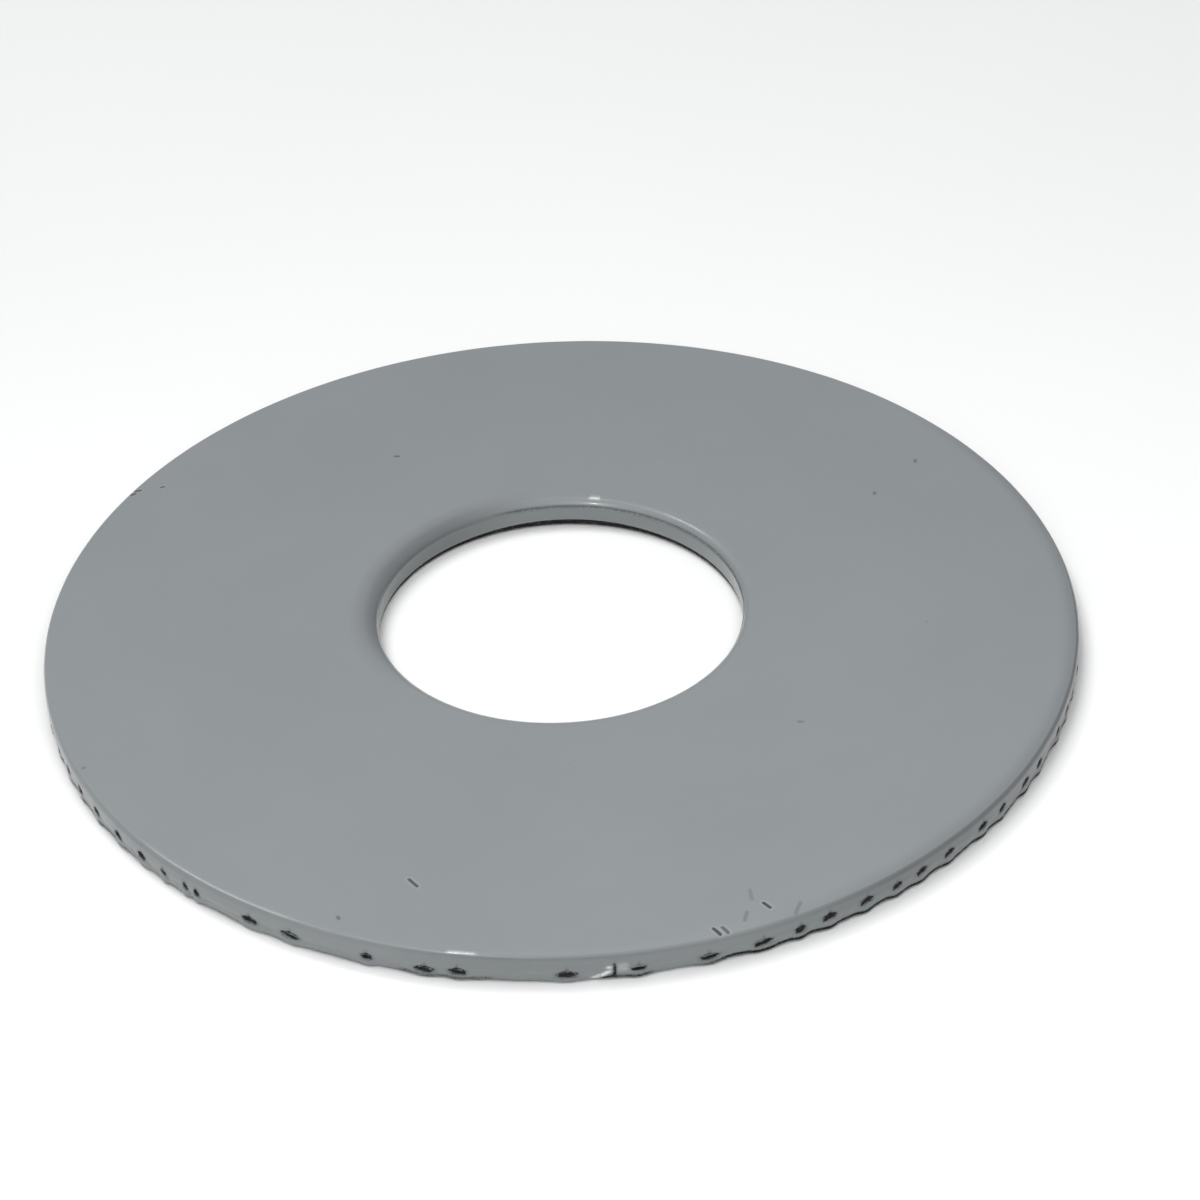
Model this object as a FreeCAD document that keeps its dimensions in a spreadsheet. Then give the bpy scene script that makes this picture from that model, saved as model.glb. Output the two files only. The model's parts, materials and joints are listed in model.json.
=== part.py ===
"""Large flat washer: a punched sheet-steel disc under one coat of paint.

Millimetres, +Z up. The origin is on the bore's axis, in the plane that the
washer stands on.

The disc was punched from above. That leaves the rounded upper edges, a smooth
upper half of the outer wall (the land) and a torn lower half, where the metal
broke away in shallow hollows with a bump between each two. Each bump ends in a
burr, and the washer stands on the burrs, so its flat underside is clear of the
plane Z = 0. A low chamfer leads from the underside into the bore. The paint
follows all of it, and a short dark pit breaks it in every bump.
"""

import FreeCAD, Part
import math
import os

import Sketcher

doc = FreeCAD.newDocument("flat_washer")

# Driving dimensions ---------------------------------------------------------

SIZES = [
    ("outer_diameter", "110", "over the paint, across the bumps"),
    ("bore_diameter", "39", "over the paint, for a 36 mm bolt"),
    ("thickness", "3", "face to face, over the paint"),
    ("film", "0.125", "thickness of the coat of paint"),
    ("rim_roll", "0.4", "radius of the outer upper edge"),
    ("bore_roll_width", "1.25", "rolled edge of the bore, seen from above"),
    ("bore_roll_radius", "1.318", "radius of the bore's rolled edge"),
    ("wall_low_end", "0.8", "height of the bore wall's lower end"),
    ("chamfer_slope", "80", "degrees, from the underside up to the bore's wall"),
    ("foot_round", "0.2", "radius of the burrs' feet"),
    ("bump_height", "0.15", "how far the bumps stand out of the land"),
    ("land_bottom", "1.75", "height of the land's lower end"),
    ("bump_top", "1.5", "height where the bumps reach their full size"),
    ("burr_drop", "0.35", "how far the burrs reach below the underside"),
    ("burr_slope", "30", "degrees, from the underside down to a burr's foot"),
    ("tear_count", "84", "hollows round the rim"),
    ("tear_radius", "3.5", "radius of a hollow, seen from above"),
    ("tear_depth", "0.4", "depth of a hollow at its lower end"),
    ("tear_gap", "0.03", "clearance of a hollow's upper end from the land"),
    ("pit_height", "1.2", "height of the pits' middles"),
    ("pit_length", "1.1", "length of a pit, along the rim"),
    ("pit_width", "0.42", "width of a pit, up the rim"),
    ("pit_depth", "0.3", "depth of a pit, paint included"),
]

sheet = doc.addObject("Spreadsheet::Sheet", "Sizes")
for row, (alias, value, meaning) in enumerate(SIZES, start=1):
    sheet.set(f"A{row}", alias)
    sheet.set(f"B{row}", value)
    sheet.set(f"C{row}", meaning)
    sheet.setAlias(f"B{row}", alias)
doc.recompute()

# The painted surface is drawn with no inset, and the steel one film inside it.
PAINTED = "0"
STEEL = "Sizes.film"


# Helpers --------------------------------------------------------------------

def origin_feature(body, role):
    """Return the plane or axis of a body's own origin that has this role."""
    for feature in body.Origin.OriginFeatures:
        if feature.Role == role:
            return feature
    raise ValueError(f"no origin feature {role}")


def line(start, end):
    """Return a line segment of the sketch plane."""
    return Part.LineSegment(FreeCAD.Vector(*start, 0), FreeCAD.Vector(*end, 0))


def arc(centre, radius, start, end):
    """Return an arc of the sketch plane between two angles in degrees."""
    circle = Part.Circle(FreeCAD.Vector(*centre, 0), FreeCAD.Vector(0, 0, 1), radius)
    return Part.ArcOfCircle(circle, math.radians(start), math.radians(end))


def set_size(sketch, name, kind, place, expression):
    """Add a named dimension at its present value, then bind it to the sheet."""
    if kind == "DistanceX":
        value = sketch.getPoint(*place).x
    elif kind == "DistanceY":
        value = sketch.getPoint(*place).y
    elif kind == "Radius":
        value = sketch.Geometry[place[0]].Radius
    else:
        edge = sketch.Geometry[place[0]]
        value = math.atan2(edge.EndPoint.y - edge.StartPoint.y, edge.EndPoint.x - edge.StartPoint.x)
    number = sketch.addConstraint(Sketcher.Constraint(kind, *place, value))
    sketch.renameConstraint(number, name)
    sketch.setExpression(f"Constraints.{name}", expression)


def draw_section(sketch, inset):
    """Draw the half section of the washer, moved inwards by the inset.

    The sketch's x is the radius and its y the height. The outline runs along
    the underside, down the burr, up the rim, across the upper face and down
    the bore. It is drawn near its final shape, which comes from the sheet.
    """
    sketch.addGeometry([
        line((21, 0.4), (54.2, 0.4)),
        line((54.2, 0.4), (54.7, 0.1)),
        arc((54.8, 0.2), 0.15, -120, 0),
        line((54.95, 0.2), (54.95, 1.5)),
        line((54.95, 1.5), (54.8, 1.75)),
        line((54.8, 1.75), (54.8, 2.9)),
        arc((54.4, 2.9), 0.4, 0, 90),
        line((54.4, 3.3), (20.75, 3.3)),
        arc((20.75, 2.05), 1.25, 90, 164),
        line((19.55, 2.4), (19.55, 0.8)),
        line((19.55, 0.8), (21, 0.4)),
    ])
    under, slope, foot, torn, step, land, rim_roll, top, bore_roll, hole, chamfer = range(11)
    start, end, centre = 1, 2, 3
    smooth = [(slope, foot), (foot, torn), (land, rim_roll), (rim_roll, top), (top, bore_roll)]
    corners = [(under, slope), (torn, step), (step, land), (bore_roll, hole),
               (hole, chamfer), (chamfer, under)]
    for first, second in smooth:
        sketch.addConstraint(Sketcher.Constraint("Tangent", first, end, second, start))
    for first, second in corners:
        sketch.addConstraint(Sketcher.Constraint("Coincident", first, end, second, start))
    for level in (under, top):
        sketch.addConstraint(Sketcher.Constraint("Horizontal", level))
    for upright in (torn, land, hole):
        sketch.addConstraint(Sketcher.Constraint("Vertical", upright))

    rim = "Sizes.outer_diameter / 2"
    bore = "Sizes.bore_diameter / 2"
    top_height = "Sizes.burr_drop + Sizes.thickness"
    corner_shift = "tan(45 - Sizes.chamfer_slope / 2)"
    for name, kind, place, expression in [
        ("hole_radius", "DistanceX", (hole, end), f"{bore} + {inset}"),
        ("roll_start", "DistanceX", (bore_roll, centre), f"{bore} + Sizes.bore_roll_width"),
        ("torn_radius", "DistanceX", (torn, end), f"{rim} - {inset}"),
        ("land_radius", "DistanceX", (land, start), f"{rim} - Sizes.bump_height - {inset}"),
        ("under_height", "DistanceY", (under, start), f"Sizes.burr_drop + {inset}"),
        ("top_height", "DistanceY", (top, start), f"{top_height} - {inset}"),
        ("foot_height", "DistanceY", (foot, centre), "Sizes.foot_round"),
        ("torn_top", "DistanceY", (torn, end), "Sizes.bump_top"),
        ("land_low_end", "DistanceY", (land, start), "Sizes.land_bottom"),
        ("wall_low_end", "DistanceY", (hole, end), f"Sizes.wall_low_end + {inset} * {corner_shift}"),
        ("chamfer_slope", "Angle", (chamfer,), "-Sizes.chamfer_slope * 1 deg"),
        ("burr_slope", "Angle", (slope,), "-Sizes.burr_slope * 1 deg"),
        ("foot_radius", "Radius", (foot,), f"Sizes.foot_round - {inset}"),
        ("rim_roll_radius", "Radius", (rim_roll,), f"Sizes.rim_roll - {inset}"),
        ("bore_roll_radius", "Radius", (bore_roll,), f"Sizes.bore_roll_radius - {inset}"),
    ]:
        set_size(sketch, name, kind, place, expression)


def repeat_round(body, name, feature):
    """Repeat a cut evenly round the rim and make sure that every copy cuts."""
    base = feature.BaseFeature.Shape.Volume
    single = base - feature.Shape.Volume
    ring = body.newObject("PartDesign::PolarPattern", name)
    ring.Originals = [feature]
    ring.Axis = (origin_feature(body, "Z_Axis"), [""])
    ring.Angle = 360
    ring.setExpression("Occurrences", "Sizes.tear_count")
    body.Tip = ring
    doc.recompute()
    copies = (base - ring.Shape.Volume) / single
    print(name, "cuts", round(single, 3), "mm3 in", round(copies, 2), "places")
    if abs(copies - ring.Occurrences) > 0.01 * ring.Occurrences:
        raise ValueError(f"{name} doesn't cut in every place")


def washer_body(name, inset):
    """Build a washer whose surface lies the inset inside the painted one."""
    body = doc.addObject("PartDesign::Body", name)
    section = body.newObject("Sketcher::SketchObject", f"{name}_section")
    section.AttachmentSupport = [(origin_feature(body, "XZ_Plane"), "")]
    section.MapMode = "FlatFace"
    draw_section(section, inset)
    doc.recompute()

    disc = body.newObject("PartDesign::Revolution", f"{name}_disc")
    disc.Profile = section
    disc.ReferenceAxis = (section, ["V_Axis"])
    disc.Angle = 360

    # One hollow: a cone outside the rim that is widest at its lower end.
    tear = body.newObject("PartDesign::SubtractiveCone", f"{name}_tear")
    tear.setExpression("Radius1", f"Sizes.tear_radius + Sizes.tear_depth + {inset}")
    tear.setExpression("Radius2", f"Sizes.tear_radius - Sizes.tear_gap + {inset}")
    tear.setExpression("Height", "Sizes.land_bottom")
    land_radius = "Sizes.outer_diameter / 2 - Sizes.bump_height"
    tear.setExpression("Placement.Base.x", f"{land_radius} + Sizes.tear_radius")
    doc.recompute()
    repeat_round(body, f"{name}_tears", tear)

    # One pit, in the bump half a pitch round from the hollow.
    half_pitch = "180 / Sizes.tear_count"
    rim = "Sizes.outer_diameter / 2"
    pit = body.newObject("PartDesign::SubtractiveEllipsoid", f"{name}_pit")
    pit.setExpression("Radius1", "Sizes.pit_width / 2")
    pit.setExpression("Radius2", "Sizes.pit_depth")
    pit.setExpression("Radius3", "Sizes.pit_length / 2")
    pit.setExpression("Placement.Base.x", f"{rim} * cos({half_pitch})")
    pit.setExpression("Placement.Base.y", f"{rim} * sin({half_pitch})")
    pit.setExpression("Placement.Base.z", "Sizes.pit_height")
    pit.setExpression("Placement.Rotation.Angle", half_pitch)
    doc.recompute()
    repeat_round(body, f"{name}_pits", pit)
    return body


# Sub-parts ------------------------------------------------------------------

steel_plate = washer_body("SteelPlate", STEEL)
steel_plate.Label = "steel_plate"

painted_washer = washer_body("PaintedWasher", PAINTED)

paint_coat = doc.addObject("Part::Cut", "PaintCoat")
paint_coat.Base = painted_washer
paint_coat.Tool = steel_plate
paint_coat.Label = "paint_coat"
doc.recompute()

# Checks and files -----------------------------------------------------------

SUB_PARTS = [steel_plate, paint_coat]

for item in doc.Objects:
    if "Invalid" in item.State or "Error" in item.State:
        raise ValueError(f"{item.Name} is {item.State}")

for item in SUB_PARTS:
    if item.Shape.isNull() or not item.Shape.isValid() or len(item.Shape.Solids) != 1:
        raise ValueError(f"{item.Label} is not one valid solid")

os.makedirs("parts", exist_ok=True)
for item in SUB_PARTS:
    item.Shape.exportStep(f"parts/{item.Label}.step")
    print(item.Label, "faces", len(item.Shape.Faces), "volume", round(item.Shape.Volume, 1))
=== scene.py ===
"""Looks of the large flat washer: a punched steel disc under one coat of grey enamel.

Two pieces stand for the two CAD nodes. "enamel_skin" is the coat of paint, a closed
shell with an outer and an inner surface, and "torn_plate" is the steel inside it.
Both follow one surface, the washer's own, which is drawn by the functions in the
section "Shape of the washer". Round the rim the paint is open over short pits,
where the torn steel shows. Marks are stored at the vertices and the paint's material
reads them. "soot" holds soot round the pits, a painted shadow along the rim's lower
lip, under a chip and under the bore, and painted shade in the bore's crease. "chalk"
holds pale chips, painted glints on both rolls and a painted highlight at the bore's
lower edge. "shade" is painted shade on the rim's right, front and left and round the bore.

Everything is in metres in the CAD frame: +Z up, the bore on the Z axis, the washer
standing on the plane Z = 0. Azimuths are in degrees, anticlockwise from +X.
"""
import json
import math

import bpy
import numpy as np
from mathutils import Matrix, Vector


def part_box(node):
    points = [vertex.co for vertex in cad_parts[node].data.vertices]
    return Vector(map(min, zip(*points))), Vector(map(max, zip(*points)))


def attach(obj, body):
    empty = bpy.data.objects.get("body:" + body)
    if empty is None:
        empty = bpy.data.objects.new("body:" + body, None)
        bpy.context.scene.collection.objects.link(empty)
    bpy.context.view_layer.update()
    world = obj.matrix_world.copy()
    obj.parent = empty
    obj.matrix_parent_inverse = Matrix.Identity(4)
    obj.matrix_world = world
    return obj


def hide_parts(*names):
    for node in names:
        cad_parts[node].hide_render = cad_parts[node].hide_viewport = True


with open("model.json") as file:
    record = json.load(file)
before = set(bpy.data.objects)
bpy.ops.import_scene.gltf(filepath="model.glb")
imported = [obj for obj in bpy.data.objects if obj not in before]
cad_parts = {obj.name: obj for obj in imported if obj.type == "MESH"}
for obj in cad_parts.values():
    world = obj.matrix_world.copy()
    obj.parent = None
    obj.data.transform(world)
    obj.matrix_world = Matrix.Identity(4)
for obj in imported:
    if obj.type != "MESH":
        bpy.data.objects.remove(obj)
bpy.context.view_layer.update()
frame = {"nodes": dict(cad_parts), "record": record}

MM = 0.001
rng = np.random.default_rng(36)


# Driving dimensions, from the frame ------------------------------------------

def mount(name):
    """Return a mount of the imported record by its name."""
    return next(item for item in frame["record"]["mounts"] if item["name"] == name)


paint_node = frame["nodes"]["paint_coat"]
RIM = max(math.hypot(vertex.co.x, vertex.co.y) for vertex in paint_node.data.vertices)
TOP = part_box("paint_coat")[1].z
UNDER = mount("underside")["pos_m"][2]
BORE = mount("bore")["dims"]["r_mm"] * MM
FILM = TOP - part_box("steel_plate")[1].z

# The section: the land is the smooth upper part of the rim's wall
LAND = RIM - 0.15 * MM
RIM_ROLL = 0.4 * MM
BORE_ROLL_WIDTH = 1.25 * MM
BORE_ROLL_RADIUS = 1.318 * MM
BORE_WALL_LOW = 0.8 * MM
CHAMFER_SLOPE = math.radians(80)

# The torn edge: heights where the tear and the fine rings end, the burrs' inner radius,
# how far bumps stand out and hollows lie back, and the rounded lip at its lower end
TORN_TOP = 1.9 * MM
FINE_TOP = 2.4 * MM
BURR_ROOT = RIM - 1.1 * MM
BURR_FLAT = 0.46 * MM
BUMP = 0.12 * MM
BUMP_TOP = 1.35 * MM
HOLLOW = 0.40 * MM
LIP_ROUND = 0.14 * MM
LIP_LOW_MM, LIP_RISE_MM = 0.40, 0.15

# The right side of the upper face droops over a width at the rim
DROOP = 0.32 * MM
DROOP_WIDTH = 1.5 * MM
DROOP_AZIMUTH = -28

# Steps of the surface: the rim's zone is fine, and the rest is coarser
COARSE_STEPS = 720
STITCH = 4
FINE_STEPS = COARSE_STEPS * STITCH
WALL_RINGS = 26
FIRST_WALL_RING = 14
PIT_HALF_ROWS = 8

# The bumps of the torn edge that face the camera: azimuth and strength from 0 to 1
FRONT_BUMPS = [
    (181.5, 0.1), (186, 0.7), (189.5, 0.35), (192.5, 0.6), (194.5, 0.35), (197, 0.55),
    (199, 0.15), (203, 0.75), (206.5, 0.3), (211, 0.8), (215, 0.35), (217.5, 0.6),
    (219.5, 0.35), (222, 0.6), (224, 0.35), (226, 0.6), (228, 0.4), (229.5, 0.6),
    (232, 0.15), (234, 0.65), (236, 0.4), (237.5, 0.6), (239.5, 0.35), (242, 0.6),
    (245, 0.3), (248, 0.7), (251, 0.15), (254.5, 1), (257, 0.65), (259, 0.75),
    (262, 0.4), (265.5, 0.45), (269, 0.8), (271, 0.6), (274.5, 1), (279.5, 0),
    (283, 0.6), (285.5, 0.05), (288.5, 1), (291, 0.6), (293.5, 0.45), (296, 0.75),
    (298, 0.4), (300, 0.7), (302, 0.35), (304.5, 0.75), (307, 0.4), (309.5, 0.25),
    (312, 0.75), (315, 0.2), (317.5, 0.55), (320.5, 1), (324, 0.2), (326, 0.75),
    (328, 0.4), (329.5, 0.7), (332, 0.2), (335.5, 0.75), (338, 0.25), (340, 0.7),
]

# The pits that face the camera: azimuth, length and width in mm, tilt, arch, soot and
# height in mm
FRONT_PITS = [
    (186.6, 1.0, 0.53, 0.1, 0.0, 0.6, 1.40), (189.7, 1.0, 0.53, 0.1, 0.0, 0.6, 1.40),
    (194.5, 1.1, 0.58, 0.2, 0.05, 0.7, 1.50), (199.1, 1.1, 0.55, 0.1, 0.0, 0.7, 1.50),
    (203.2, 1.1, 0.61, 0.1, 0.05, 0.8, 1.55), (207.0, 1.1, 0.61, 0.1, 0.0, 0.8, 1.60),
    (211.3, 1.0, 0.69, -0.2, 0.1, 1.0, 1.60), (215.9, 1.1, 0.69, -0.2, 0.1, 1.0, 1.60),
    (220.3, 1.1, 0.71, -0.2, 0.1, 1.0, 1.60), (223.9, 0.8, 0.58, -0.1, 0.0, 0.5, 1.55),
    (227.2, 0.6, 0.61, -0.4, 0.0, 0.8, 1.55), (228.8, 0.7, 0.66, -0.2, 0.1, 0.8, 1.50),
    (235.8, 1.6, 0.52, -0.05, 0.12, 1.0, 1.45), (240.6, 1.7, 0.43, -0.2, -0.08, 0.9, 1.40),
    (249.0, 1.1, 0.43, 0.0, 0.15, 0.8, 1.30), (254.9, 1.7, 0.45, -0.05, 0.1, 0.9, 1.05),
    (258.2, 1.5, 0.50, -0.25, 0.0, 0.9, 1.15), (268.8, 1.8, 0.58, 0.03, 0.08, 0.8, 1.10),
    (275.8, 1.3, 0.45, 0.0, 0.0, 0.5, 1.25), (282.7, 1.6, 0.54, 0.1, -0.06, 0.7, 1.22),
    (288.3, 1.7, 0.58, 0.2, 0.0, 0.6, 1.32), (292.3, 1.1, 0.72, 0.2, 0.05, 0.7, 1.50),
    (295.5, 1.3, 0.74, 0.15, 0.15, 1.0, 1.70), (299.9, 1.3, 0.63, 0.2, 0.15, 1.0, 1.75),
    (303.7, 1.0, 0.69, 0.2, 0.1, 0.7, 1.66), (307.0, 1.3, 0.74, 0.25, 0.0, 0.6, 1.75),
    (311.0, 1.2, 0.74, 0.25, 0.08, 0.7, 1.72), (316.4, 1.2, 0.69, 0.2, 0.12, 0.9, 1.75),
    (320.0, 1.1, 0.74, 0.2, 0.0, 0.6, 1.75), (324.9, 1.3, 0.74, 0.15, 0.1, 0.7, 1.75),
    (328.4, 1.2, 0.74, 0.15, 0.08, 0.8, 1.75), (334.2, 1.2, 0.69, 0.1, 0.12, 0.6, 1.75),
    (338.0, 1.1, 0.72, 0.1, 0.0, 0.7, 1.75),
]

# Ranges for the rest of the rim: gaps in degrees, strengths of a dip and of a peak, and
# a pit's length, width, tilt, arch, soot and height
REAR_BUMP_GAP = (1.6, 2.6)
REAR_DIP, REAR_PEAK = (0.1, 0.4), (0.5, 1.0)
REAR_BUMPS_END = 534
REAR_PIT_GAP = (3.4, 5.2)
REAR_PIT = [(0.9, 1.6), (0.40, 0.56), (-0.2, 0.2), (0, 0.2), (0.5, 0.9), (1.1, 1.6)]
REAR_PITS_START, REAR_PITS_END = 342.0, 543


def smooth(value):
    """Return the smooth step from 0 to 1 of a value."""
    value = np.clip(value, 0, 1)
    return value * value * (3 - 2 * value)


def bell(distance, width, power=2):
    """Return 1 at no distance and about 0 past a width. A higher power has steeper sides."""
    return np.exp(-(np.abs(distance / width) ** power))


def turn_from(azimuth, middle):
    """Return the angle from one azimuth to another, from -180 to 180 degrees."""
    return (azimuth - middle + 180) % 360 - 180


def along_rim(azimuth, middle):
    """Return the distance along the rim from an azimuth, anticlockwise."""
    return turn_from(azimuth, middle) * math.radians(1) * RIM


def sector(azimuth, start, end, fade):
    """Return 1 between two azimuths, falling to 0 over the last degrees inside each end."""
    away = np.abs(turn_from(azimuth, (start + end) / 2))
    return smooth(((end - start) / 2 - away) / fade)


def ripple(azimuth, seed, waves, fastest):
    """Return a seeded sum of waves round the washer, about -1 to 1."""
    source = np.random.default_rng(seed)
    total = np.zeros_like(azimuth)
    for _ in range(waves):
        turns = source.integers(2, fastest)
        total = total + np.sin(np.radians(azimuth) * turns + source.uniform(0, 2 * math.pi))
    return total / math.sqrt(waves / 2) / 2


# Shape of the washer ---------------------------------------------------------

def rear_bumps():
    """Return bumps for the rest of the rim: a dip and a peak by turns."""
    bumps = []
    azimuth = FRONT_BUMPS[-1][0]
    while azimuth < REAR_BUMPS_END:
        for weakest, strongest in (REAR_DIP, REAR_PEAK):
            azimuth += rng.uniform(*REAR_BUMP_GAP)
            bumps.append((azimuth, rng.uniform(weakest, strongest)))
    return bumps


def rear_pits():
    """Return pits for the rest of the rim, in the same form as FRONT_PITS."""
    pits = []
    azimuth = REAR_PITS_START
    while azimuth < REAR_PITS_END:
        values = [rng.uniform(low, high) for low, high in REAR_PIT]
        pits.append((azimuth % 360, *values))
        azimuth += rng.uniform(*REAR_PIT_GAP)
    return pits


BUMPS = FRONT_BUMPS + rear_bumps()
PITS = FRONT_PITS + rear_pits()


def bump_strength(azimuth):
    """Return how far the torn edge bulges at each azimuth, from 0 to 1."""
    listed, at_pit, pit_reach = 0.55, 0.7, 0.62
    knots = np.array(BUMPS + [(BUMPS[0][0] + 360, BUMPS[0][1])])
    turned = (azimuth - knots[0, 0]) % 360 + knots[0, 0]
    after = np.clip(np.searchsorted(knots[:, 0], turned, side="right"), 1, len(knots) - 1)
    start, end = knots[after - 1], knots[after]
    share = smooth((turned - start[..., 0]) / (end[..., 0] - start[..., 0]))
    strength = listed * (start[..., 1] + share * (end[..., 1] - start[..., 1]))
    for middle, length, *_ in PITS:
        strength = strength + at_pit * bell(along_rim(azimuth, middle), pit_reach * length * MM)
    return np.tanh(strength)


def lip_height(strength):
    """Return the height of the torn edge's rounded lip for a bump of this strength."""
    return (LIP_LOW_MM - LIP_RISE_MM * strength) * MM + LIP_ROUND


def ring(azimuth, radius, height):
    """Return the points of one ring, whose radius and height may vary."""
    angle = np.radians(azimuth)
    height = np.broadcast_to(height, azimuth.shape)
    return np.stack([radius * np.cos(angle), radius * np.sin(angle), height], -1)


def sag(azimuth, radius):
    """Return how far the upper face lies below its highest plane: a faint waviness."""
    across = np.sin(radius / RIM * 5)
    slow = ripple(azimuth, 5, 3, 5) * across + ripple(azimuth, 6, 2, 4)
    side = smooth((np.cos(np.radians(azimuth - DROOP_AZIMUTH)) - 0.2) / 0.6)
    droop = DROOP * side * np.clip((radius - LAND + DROOP_WIDTH) / DROOP_WIDTH, 0, 1) ** 2
    return (0.006 + 0.003 * slow) * MM + droop


def rim_wall(azimuth, strength, height):
    """Return the radius of the rim's wall at a height: smooth above, torn below."""
    depth = np.clip((TORN_TOP - height) / TORN_TOP, 0, 1)
    out = BUMP * strength * smooth((BUMP_TOP - height) / (0.35 * MM))
    hollow = HOLLOW * (1 - strength) * depth ** 1.1
    rough = 0.020 * MM * ripple(azimuth, 11, 24, 260) * smooth(depth * 2.5)
    slanted = ripple(azimuth + height / MM * 9, 12, 18, 420)
    rough = rough + 0.016 * MM * slanted * smooth(depth * 2)
    land = 0.006 * MM * ripple(azimuth, 13, 6, 60)
    return LAND - 0.01 * MM + out - hollow + rough + land


def rim_rings(azimuth):
    """Return the fine zone: the underside's rim, the burrs, the rim's wall and its roll."""
    strength = bump_strength(azimuth)
    foot = UNDER * (1 - strength) * 0.98
    low_end = lip_height(strength)
    lip = rim_wall(azimuth, strength, low_end)
    rings = [ring(azimuth, BURR_ROOT - inset * MM, UNDER) for inset in (0.9, 0.3)]
    for share in (0.0, 0.35, 0.7, 1.0):
        radius = BURR_ROOT + (lip - BURR_FLAT - BURR_ROOT) * share
        rings.append(ring(azimuth, radius, UNDER + (foot + 0.02 * MM - UNDER) * share))
    for inset, lift in ((0.38, 0.0), (0.30, 0.02)):
        rings.append(ring(azimuth, lip - inset * MM, foot + lift * MM))
    under_turn = np.radians(90 - 40 * strength)
    for share in (1.0, 0.8, 0.6, 0.4, 0.2, 0.0):
        turn = under_turn * share
        radius = lip - LIP_ROUND * (1 - np.cos(turn))
        rings.append(ring(azimuth, radius, low_end - LIP_ROUND * np.sin(turn)))
    for share in np.linspace(0, 1, WALL_RINGS + 1)[1:]:
        height = low_end + (FINE_TOP - low_end) * share
        rings.append(ring(azimuth, rim_wall(azimuth, strength, height), height))
    land = rim_wall(azimuth, strength, np.full_like(azimuth, FINE_TOP))
    roll_low = TOP - RIM_ROLL - DROOP
    for share in (0.3, 0.65, 1.0):
        rings.append(ring(azimuth, land, FINE_TOP + (roll_low - FINE_TOP) * share))
    rise = RIM_ROLL + DROOP - sag(azimuth, LAND - RIM_ROLL)
    for angle in np.radians(np.linspace(0, 90, 13))[1:]:
        radius = land - RIM_ROLL * (1 - math.cos(angle))
        rings.append(ring(azimuth, radius, roll_low + rise * math.sin(angle)))
    inner = LAND - RIM_ROLL - 0.3 * MM
    rings.append(ring(azimuth, inner, TOP - sag(azimuth, inner)))
    return np.array(rings)


def face_rings(azimuth, inner):
    """Return the rings of the upper face, closer together near its rim."""
    outer = LAND - RIM_ROLL - 0.6 * MM
    near_rim = [outer - step * MM for step in (0, 0.35, 0.75)]
    radii = [*near_rim, *np.linspace(outer - 1.3 * MM, inner, 24)]
    return [ring(azimuth, radius, TOP - sag(azimuth, radius)) for radius in radii]


def disc_rings(azimuth):
    """Return the coarse zone: the upper face, the bore's roll and wall, and the underside."""
    roll_centre = BORE + BORE_ROLL_WIDTH
    rings = face_rings(azimuth, roll_centre + 0.5 * MM)
    corner = math.acos(-BORE_ROLL_WIDTH / BORE_ROLL_RADIUS)
    steps = [*np.linspace(90, 138, 13), *np.linspace(141, math.degrees(corner), 14)]
    for angle in np.radians(steps):
        radius = roll_centre + BORE_ROLL_RADIUS * math.cos(angle)
        lift = BORE_ROLL_RADIUS * (math.sin(angle) - 1)
        rings.append(ring(azimuth, radius, TOP + lift - sag(azimuth, radius) * math.sin(angle) ** 4))

    wall_top = TOP + BORE_ROLL_RADIUS * (math.sin(corner) - 1)
    rough = 0.006 * MM * ripple(azimuth, 21, 10, 90)
    near_top = [0.012, 0.025, 0.04, 0.06, 0.09]
    for share in [*near_top, *np.linspace(0.15, 0.8, 6), *np.linspace(0.86, 1, 8)]:
        recess = (0.006 * MM + rough) * smooth(share * 5) * smooth((1 - share) * 5)
        rings.append(ring(azimuth, BORE + recess, wall_top + (BORE_WALL_LOW - wall_top) * share))
    for drop in (0.012, 0.03):
        rings.append(ring(azimuth, BORE + drop * MM, BORE_WALL_LOW - drop * MM))

    low = BORE_WALL_LOW - 0.04 * MM
    chamfer_end = BORE + (low - UNDER) / math.tan(CHAMFER_SLOPE)
    for share in (0.05, 0.3, 0.65, 1.0):
        radius = BORE + 0.05 * MM + (chamfer_end - BORE) * share
        rings.append(ring(azimuth, radius, low + (UNDER - low) * share))
    start, end = chamfer_end + 0.05 * MM, BURR_ROOT - 1.5 * MM
    for share in np.linspace(0, 1, 15)[1:]:
        rings.append(ring(azimuth, start + (end - start) * share, UNDER))
    return np.array(rings)


def outward(points):
    """Return the outward normals of a zone's grid of points."""
    round_step = np.roll(points, -1, 1) - np.roll(points, 1, 1)
    cross_step = np.gradient(points, axis=0)
    normals = np.cross(round_step, cross_step)
    return normals / np.linalg.norm(normals, axis=-1, keepdims=True)


class Zone:
    """A closed band of the washer's surface: a grid of rings, with its normals."""

    def __init__(self, steps, make_rings):
        self.azimuth = np.arange(steps) * 360 / steps
        self.points = make_rings(self.azimuth)
        self.normals = outward(self.points)
        self.open = np.zeros(self.points.shape[:2], bool)

    def at(self, across, along, lift):
        """Return the points at fractional grid places, lifted along the normals."""
        row = np.clip(np.floor(across).astype(int), 0, len(self.points) - 2)
        column = np.floor(along).astype(int)
        up, right = (across - row)[..., None], (along - column)[..., None]
        steps = self.points.shape[1]

        def blend(grid):
            """Return the grid's values between its corners."""
            near, far = column % steps, (column + 1) % steps
            low = grid[row, near] * (1 - right) + grid[row, far] * right
            high = grid[row + 1, near] * (1 - right) + grid[row + 1, far] * right
            return low * (1 - up) + high * up

        return blend(self.points) + blend(self.normals) * np.asarray(lift)[..., None]


rim_zone = Zone(FINE_STEPS, rim_rings)
disc_zone = Zone(COARSE_STEPS, disc_rings)


# Pits: the openings in the paint ---------------------------------------------

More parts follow.
